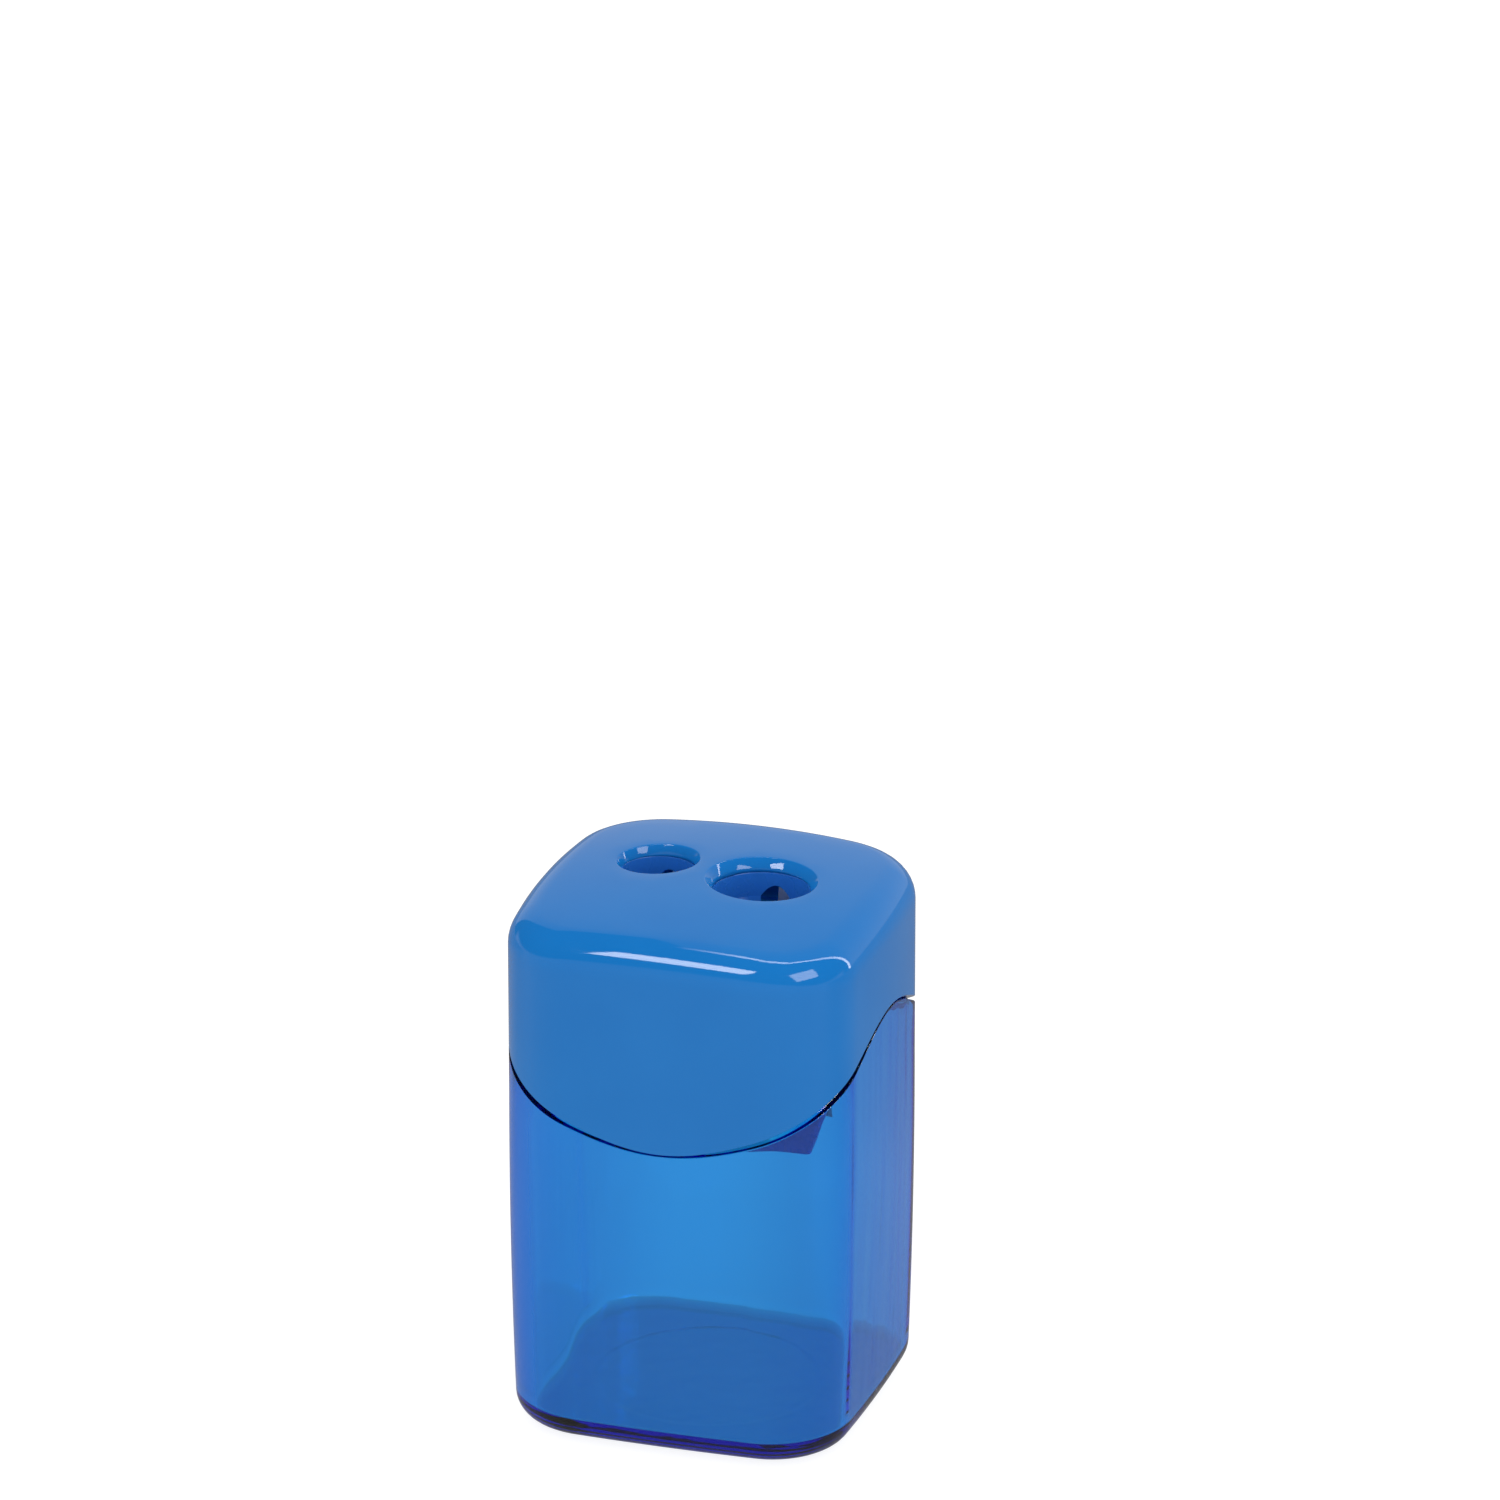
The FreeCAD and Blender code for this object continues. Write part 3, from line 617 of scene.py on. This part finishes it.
class Tree:
    """Short calls for building a node tree."""

    def __init__(self, tree):
        self.tree = tree
        self.tree.nodes.clear()

    def add(self, kind, **values):
        node = self.tree.nodes.new(kind)
        for key, value in values.items():
            setattr(node, key, value)
        return node

    def link(self, source, target):
        """Links an output to a socket, or writes a plain number into it."""
        if isinstance(source, float):
            target.default_value = source
        else:
            self.tree.links.new(source, target)

    def ramp(self, source, span, first, last):
        """The first value below the span, the last above it, and a straight change within it."""
        node = self.add("ShaderNodeMapRange")
        keys = ("From Min", "From Max", "To Min", "To Max")
        for key, value in zip(keys, (*span, first, last)):
            node.inputs[key].default_value = value
        self.link(source, node.inputs["Value"])
        return node.outputs["Result"]

    def choose(self, factor, first, second):
        """The first value where the factor is 0 and the second where it is 1."""
        node = self.add("ShaderNodeMix", data_type="FLOAT")
        for key, value in (("Factor", factor), ("A", first), ("B", second)):
            self.link(value, node.inputs[key])
        return node.outputs["Result"]

    def maths(self, operation, *values):
        node = self.add("ShaderNodeMath", operation=operation)
        for value, socket in zip(values, node.inputs):
            self.link(value, socket)
        return node.outputs["Value"]


class Nodes(Tree):
    """A node material."""

    def __init__(self, name):
        self.material = bpy.data.materials.new(name)
        self.material.use_nodes = True
        super().__init__(self.material.node_tree)
        self.output = self.add("ShaderNodeOutputMaterial")

    def place(self):
        return self.add("ShaderNodeTexCoord").outputs["Object"]

    def noise(self, scale, detail=3.0, stretch=None):
        node = self.add("ShaderNodeTexNoise")
        node.inputs["Scale"].default_value = scale
        node.inputs["Detail"].default_value = detail
        place = self.place()
        if stretch:
            mapping = self.add("ShaderNodeMapping")
            mapping.inputs["Scale"].default_value = stretch
            self.link(place, mapping.inputs["Vector"])
            place = mapping.outputs["Vector"]
        self.link(place, node.inputs["Vector"])
        return node.outputs["Fac"]

    def spread(self, source, low=0.0, high=1.0):
        """Maps the usual range of a noise onto another range."""
        return self.ramp(source, NOISE_SPAN, low, high)

    def blend(self, factor, first, second):
        node = self.add("ShaderNodeMix", data_type="RGBA")
        node.inputs["A"].default_value = first
        node.inputs["B"].default_value = second
        self.link(factor, node.inputs["Factor"])
        return node.outputs["Result"]

    def bump(self, source, distance):
        node = self.add("ShaderNodeBump")
        node.inputs["Distance"].default_value = distance
        node.inputs["Strength"].default_value = 1.0
        self.link(source, node.inputs["Height"])
        return node.outputs["Normal"]

    def principled(self, **values):
        shader = self.add("ShaderNodeBsdfPrincipled")
        for key, value in values.items():
            shader.inputs[key.replace("_", " ")].default_value = value
        self.link(shader.outputs["BSDF"], self.output.inputs["Surface"])
        return shader


def opaque_plastic(name, colours, roughness):
    """Moulded plastic with a faint skin texture and uneven polish."""
    nodes = Nodes(name)
    shader = nodes.principled(IOR=PLASTIC_IOR, Specular_IOR_Level=PLASTIC_SPECULAR)
    tone = nodes.spread(nodes.noise(TONE_SCALE))
    nodes.link(nodes.blend(tone, *colours), shader.inputs["Base Color"])
    nodes.link(nodes.spread(nodes.noise(POLISH_SCALE), *roughness), shader.inputs["Roughness"])
    nodes.link(nodes.bump(nodes.noise(SKIN_SCALE, SKIN_DETAIL), SKIN_DEPTH), shader.inputs["Normal"])
    return nodes.material


def clear_plastic():
    """See-through blue plastic, coloured by its depth."""
    nodes = Nodes("clear_blue_plastic")
    shader = nodes.principled(IOR=PLASTIC_IOR, Transmission_Weight=1.0, Base_Color=WHITE)
    polish = nodes.spread(nodes.noise(CLEAR_POLISH_SCALE), *CLEAR_ROUGHNESS)
    nodes.link(polish, shader.inputs["Roughness"])
    flow = nodes.noise(FLOW_SCALE, FLOW_DETAIL, FLOW_STRETCH)
    nodes.link(nodes.bump(flow, FLOW_DEPTH), shader.inputs["Normal"])
    volume = nodes.add("ShaderNodeVolumeAbsorption")
    volume.inputs["Color"].default_value = CLEAR_TINT
    volume.inputs["Density"].default_value = CLEAR_DENSITY
    nodes.link(volume.outputs["Volume"], nodes.output.inputs["Volume"])
    return nodes.material


def steel(name, colour, roughness, stretch):
    """Ground steel with fine marks, drawn out along Z by a stretch below 1 there."""
    nodes = Nodes(name)
    shader = nodes.principled(Metallic=1.0)
    marks = nodes.noise(MARK_SCALE, MARK_DETAIL, stretch)
    dark = (*[value * STEEL_DARKER for value in colour], 1.0)
    light = (*colour, 1.0)
    nodes.link(nodes.blend(nodes.spread(marks), dark, light), shader.inputs["Base Color"])
    nodes.link(nodes.spread(marks, *roughness), shader.inputs["Roughness"])
    nodes.link(nodes.bump(marks, MARK_DEPTH), shader.inputs["Normal"])
    return nodes.material


# Floor, in metres. Its glow differs by the kind of ray that meets it

FLOOR_SIZE = 3.0
FLOOR_SEGMENTS = 8
FLOOR_DROP = 0.0002
FLOOR_COLOURS = ((0.22, 0.22, 0.22, 1.0), (0.24, 0.24, 0.24, 1.0))
FLOOR_TONE_SCALE = 4.0
FLOOR_SEEN = 0.88  # glow as the camera sees it
FLOOR_LIGHT = 0.48  # and as it lights the object

# Glow of the floor as it shows through the container, with painted light in a lane and on the right, and a
# painted shadow under the object

FLOOR_PAINTED_LANE = 0.52  # in a painted lane of light that runs away from the front
FLOOR_SIDES = 0.42  # beside the painted lane
FLOOR_PAINTED_RIGHT_LIGHT = 0.055  # painted light added on the right, near the object
# painted shadow on the floor under the object
FLOOR_PAINTED_SHADOW = 0.34
PAINTED_SHADOW_EDGE = (0.0188, 0.0194)  # edge of the painted shadow under the object
LANE = (0.952, 0.305)  # direction across the painted lane of light
LANE_OFFSET = 0.0025
LANE_SPAN = (0.003, 0.016)
RIGHT_SPAN = (0.012, 0.016)
RIGHT_END = (0.062, 0.08)

# Glow of the floor in reflections

FLOOR_FRONT = 0.32
FLOOR_BACK = 0.10
SHINE_SPAN = (-0.035, 0.02)
SHINE_END = (0.06, 0.11)


def floor_through(nodes, x, y):
    """Glow of the floor where it shows through the container: painted light in a lane and on the right, and
    a painted shadow under the object.
    """
    away = nodes.maths("MAXIMUM", nodes.maths("ABSOLUTE", x), nodes.maths("ABSOLUTE", y))
    across = nodes.maths("ADD", nodes.maths("MULTIPLY", x, LANE[0]), nodes.maths("MULTIPLY", y, LANE[1]))
    aside = nodes.maths("ABSOLUTE", nodes.maths("ADD", across, LANE_OFFSET))
    # painted light: a brighter lane that runs away from the front
    lane = nodes.ramp(aside, LANE_SPAN, FLOOR_PAINTED_LANE, FLOOR_SIDES)
    # painted light added on the right, near the object
    right = nodes.ramp(across, RIGHT_SPAN, 0.0, FLOOR_PAINTED_RIGHT_LIGHT)
    right = nodes.maths("MULTIPLY", right, nodes.ramp(y, RIGHT_END, 1.0, 0.0))
    lane = nodes.maths("ADD", lane, right)
    # painted shadow under the object, painted light round it
    return nodes.choose(nodes.ramp(away, PAINTED_SHADOW_EDGE, 0.0, 1.0), FLOOR_PAINTED_SHADOW, lane)


def floor_mirrored(nodes, y):
    """Glow of the floor in reflections: brightest in front of the object, and none far behind it."""
    front = nodes.ramp(y, SHINE_SPAN, FLOOR_FRONT, FLOOR_BACK)
    return nodes.maths("MULTIPLY", front, nodes.ramp(y, SHINE_END, 1.0, 0.0))


def white_floor():
    """Pale floor that reads as white and keeps the object's shadow."""
    nodes = Nodes("pale_floor")
    diffuse = nodes.add("ShaderNodeBsdfDiffuse")
    tone = nodes.spread(nodes.noise(FLOOR_TONE_SCALE))
    nodes.link(nodes.blend(tone, *FLOOR_COLOURS), diffuse.inputs["Color"])
    place = nodes.add("ShaderNodeSeparateXYZ")
    nodes.link(nodes.place(), place.inputs["Vector"])
    x, y, _ = place.outputs
    path = nodes.add("ShaderNodeLightPath").outputs
    strength = nodes.choose(path["Is Glossy Ray"], FLOOR_LIGHT, floor_mirrored(nodes, y))
    strength = nodes.choose(path["Is Transmission Ray"], strength, floor_through(nodes, x, y))
    strength = nodes.choose(path["Is Camera Ray"], strength, FLOOR_SEEN)
    glow = nodes.add("ShaderNodeEmission")
    nodes.link(strength, glow.inputs["Strength"])
    both = nodes.add("ShaderNodeAddShader")
    nodes.link(diffuse.outputs[0], both.inputs[0])
    nodes.link(glow.outputs[0], both.inputs[1])
    nodes.link(both.outputs[0], nodes.output.inputs["Surface"])
    nodes.material.cycles.emission_sampling = "NONE"
    return nodes.material


def floor():
    mesh = bpy.data.meshes.new("studio_floor")
    work = bmesh.new()
    bmesh.ops.create_grid(work, x_segments=FLOOR_SEGMENTS, y_segments=FLOOR_SEGMENTS, size=FLOOR_SIZE)
    work.to_mesh(mesh)
    work.free()
    piece = bpy.data.objects.new("studio_floor", mesh)
    piece.location.z = -FLOOR_DROP
    bpy.context.scene.collection.objects.link(piece)
    mesh.materials.append(white_floor())


# World. Its places are parts of a unit direction, and its strengths differ by the kind of ray

SEEN_THROUGH = 0.73  # strength of the surroundings where they show through the container
SKY_LOW = 1.45  # strength of the even light that falls on the object, at the horizon and overhead
SKY_HIGH = 0.95
SKY_RIGHT = 0.3  # added towards the right
WALL_LOW = 0.60  # strength of the walls in reflections, at the horizon and near their top
WALL_HIGH = 0.38
WALL_SPAN = (0.1, 0.7)
CEILING = 0.06
STRIP = 9.0  # strength of the bright strip along the edge of the back wall
STRIP_SPAN = (0.04, 0.05)
STRIP_START = (-0.26, -0.15)
CRISP_EDGE = (-0.01, 0.01)
SOFT_EDGE = (-0.04, 0.04)
BACK_LEFT_SLOPE = -0.86  # the edge of the back wall overhead slants to the left and to the right
BACK_RIGHT_SLOPE = 1.1
BACK_RIGHT_OFFSET = -0.19
BACK_NEAREST = 0.05
BACK_TOP_LEFT = 0.75  # the left of the back wall ends at this height, and the rest goes on overhead
BACK_TOP_RIGHT = 1.1
BACK_TOP_SPAN = (-0.30, -0.22)
FRONT_LOW = 0.05  # height of the front wall at its ends, and its rise to the middle
FRONT_RISE = 0.45
FRONT_END = (0.40, 0.50)


class World(Tree):
    """Surroundings that are white to look at and light the object evenly.

    In reflections they are walls and a dark ceiling. The front wall is a low one, so that the ceiling shows
    as a darker band in the lid's rounding."""

    def __init__(self):
        made = bpy.data.worlds.new("studio_world")
        bpy.context.scene.world = made
        made.use_nodes = True
        super().__init__(made.node_tree)
        direction = self.add("ShaderNodeSeparateXYZ")
        self.link(self.add("ShaderNodeTexCoord").outputs["Generated"], direction.inputs["Vector"])
        self.x, self.y, self.z = direction.outputs
        path = self.add("ShaderNodeLightPath").outputs
        strength = self.choose(path["Is Glossy Ray"], self.sky(), self.mirrored())
        strength = self.choose(path["Is Transmission Ray"], strength, SEEN_THROUGH)
        strength = self.choose(path["Is Camera Ray"], strength, 1.0)
        background = self.add("ShaderNodeBackground")
        background.inputs["Color"].default_value = WHITE
        self.link(strength, background.inputs["Strength"])
        output = self.add("ShaderNodeOutputWorld")
        self.link(background.outputs["Background"], output.inputs["Surface"])

    def sky(self):
        """The even light that falls on the object."""
        right = self.maths("MULTIPLY", self.maths("MAXIMUM", self.x, 0.0), SKY_RIGHT)
        return self.maths("ADD", self.ramp(self.z, (0.0, 1.0), SKY_LOW, SKY_HIGH), right)

    def mirrored(self):
        """The surroundings as the glossy surfaces show them."""
        behind, strip = self.back_wall()
        walls = self.maths("MAXIMUM", behind, self.front_wall())
        tone = self.ramp(self.z, WALL_SPAN, WALL_LOW, WALL_HIGH)
        strength = self.choose(walls, CEILING, tone)
        return self.choose(strip, strength, STRIP)

    def back_wall(self):
        """A wall from the left to the right of the back, and the strip along its edge overhead."""
        left_edge = self.maths("MULTIPLY", self.x, BACK_LEFT_SLOPE)
        right_edge = self.maths("MULTIPLY_ADD", self.x, BACK_RIGHT_SLOPE, BACK_RIGHT_OFFSET)
        edge = self.maths("MAXIMUM", self.maths("MAXIMUM", left_edge, right_edge), BACK_NEAREST)
        depth = self.maths("SUBTRACT", self.y, edge)
        top = self.ramp(self.x, BACK_TOP_SPAN, BACK_TOP_LEFT, BACK_TOP_RIGHT)
        below_top = self.ramp(self.maths("SUBTRACT", self.z, top), CRISP_EDGE, 1.0, 0.0)
        wall = self.maths("MULTIPLY", self.ramp(depth, CRISP_EDGE, 0.0, 1.0), below_top)
        strip = self.ramp(self.maths("ABSOLUTE", depth), STRIP_SPAN, 1.0, 0.0)
        overhead = self.ramp(self.x, STRIP_START, 0.0, 1.0)
        return wall, self.maths("MULTIPLY", strip, overhead)

    def front_wall(self):
        """A low wall round the front, highest in the middle."""
        top = self.maths("MULTIPLY_ADD", self.maths("MULTIPLY", self.y, self.y), FRONT_RISE, FRONT_LOW)
        below_top = self.ramp(self.maths("SUBTRACT", self.z, top), SOFT_EDGE, 1.0, 0.0)
        return self.maths("MULTIPLY", below_top, self.ramp(self.y, FRONT_END, 1.0, 0.0))


# Lights and camera

LAMP_DISTANCE = 0.6

PHOTO_SIZE = 1500
FOCAL_PIXELS = 11600
AIM_HEIGHT = 30.0  # a point on the object's axis, in millimetres
AIM_PIXEL = (712.47, 1134.41)  # and where it falls in the photo
CAMERA_DISTANCE = 1264.2
CAMERA_AZIMUTH = 17.778
CAMERA_ELEVATION = 23.661
SENSOR_WIDTH = 36.0
CLIP_START = 0.01
CLIP_END = 20.0
BOUNCES = 24  # enough for light to pass through both walls and along inside them


def direction_to(azimuth, elevation):
    """Direction from the object, in degrees. Azimuth 0 is in front and 90 is towards +X."""
    turn = math.radians(azimuth)
    rise = math.radians(elevation)
    level = math.cos(rise)
    return Vector((math.sin(turn) * level, -math.cos(turn) * level, math.sin(rise)))


def softbox(name, azimuth, elevation, width, height, radiance):
    """Softbox aimed at the lid, which shows as a highlight. The even light comes from the surroundings."""
    away = direction_to(azimuth, elevation)
    lamp = bpy.data.lights.new(name, "AREA")
    lamp.shape = "RECTANGLE"
    lamp.size = width
    lamp.size_y = height
    lamp.energy = radiance * math.pi * width * height
    piece = bpy.data.objects.new(name, lamp)
    piece.location = Vector((0.0, 0.0, LID_TOP * MM)) + away * LAMP_DISTANCE
    piece.rotation_euler = (-away).to_track_quat("-Z", "Y").to_euler()
    piece.visible_diffuse = False
    bpy.context.scene.collection.objects.link(piece)
    return piece


def lights(cover):
    """Two softboxes. The key shows in the lid alone, and not as spots in the container's rim."""
    key = softbox("key_softbox", azimuth=-21.0, elevation=49.0, width=0.24, height=0.15, radiance=13.0)
    key.light_linking.receiver_collection = bpy.data.collections.new("key_receivers")
    key.light_linking.receiver_collection.objects.link(cover)
    softbox("side_softbox", azimuth=66.0, elevation=35.0, width=0.30, height=0.24, radiance=6.0)


def camera():
    """Camera with the photo's viewpoint, turned so that a known point falls on its pixel."""
    lens = bpy.data.cameras.new("photo_camera")
    lens.sensor_width = SENSOR_WIDTH
    lens.lens = lens.sensor_width * FOCAL_PIXELS / PHOTO_SIZE
    lens.clip_start = CLIP_START
    lens.clip_end = CLIP_END
    azimuth = math.radians(CAMERA_AZIMUTH)
    elevation = math.radians(CAMERA_ELEVATION)
    back = direction_to(CAMERA_AZIMUTH, CAMERA_ELEVATION)
    aim = Vector((0.0, 0.0, AIM_HEIGHT))
    tilt = math.atan2(AIM_PIXEL[1] - PHOTO_SIZE / 2, FOCAL_PIXELS)
    pan = math.atan2(PHOTO_SIZE / 2 - AIM_PIXEL[0], FOCAL_PIXELS * math.cos(elevation - tilt))
    piece = bpy.data.objects.new("photo_camera", lens)
    piece.location = (aim + back * CAMERA_DISTANCE) * MM
    piece.rotation_euler = (math.pi / 2 - elevation + tilt, 0.0, azimuth - pan)
    bpy.context.scene.collection.objects.link(piece)
    bpy.context.scene.camera = piece


def render_settings():
    scene = bpy.context.scene
    scene.view_settings.view_transform = "Standard"
    scene.cycles.max_bounces = BOUNCES
    scene.cycles.transmission_bounces = BOUNCES
    scene.cycles.glossy_bounces = BOUNCES


# Pieces on their bodies

def dress(piece, material):
    piece.data.materials.clear()
    piece.data.materials.append(material)


def add_container():
    box = container()
    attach(box, "container")
    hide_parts("container")
    dress(box, clear_plastic())


def add_lid():
    """Adds the lid and its hooks, and returns the lid."""
    plastic = opaque_plastic("lid_blue_plastic", LID_COLOURS, LID_ROUGHNESS)
    cover = lid()
    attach(cover, "lid")
    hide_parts("lid")
    dress(cover, plastic)
    grip = hooks()
    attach(grip, "lid")
    dress(grip, plastic)
    return cover


def dress_block():
    """Finishes the block, blades and screws, which keep the frame's own shapes."""
    plastic = opaque_plastic("block_blue_plastic", BLOCK_COLOURS, BLOCK_ROUGHNESS)
    dress(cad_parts["sharpener_block"], plastic)
    blade_steel = steel("blade_steel", BLADE_COLOUR, BLADE_ROUGHNESS, BLADE_STRETCH)
    screw_steel = steel("screw_steel", SCREW_COLOUR, SCREW_ROUGHNESS, SCREW_STRETCH)
    for name in ("standard", "jumbo"):
        dress(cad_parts[f"{name}_blade"], blade_steel)
        dress(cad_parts[f"{name}_blade_screw"], screw_steel)


add_container()
lid_piece = add_lid()
dress_block()
floor()
World()
lights(lid_piece)
camera()
render_settings()
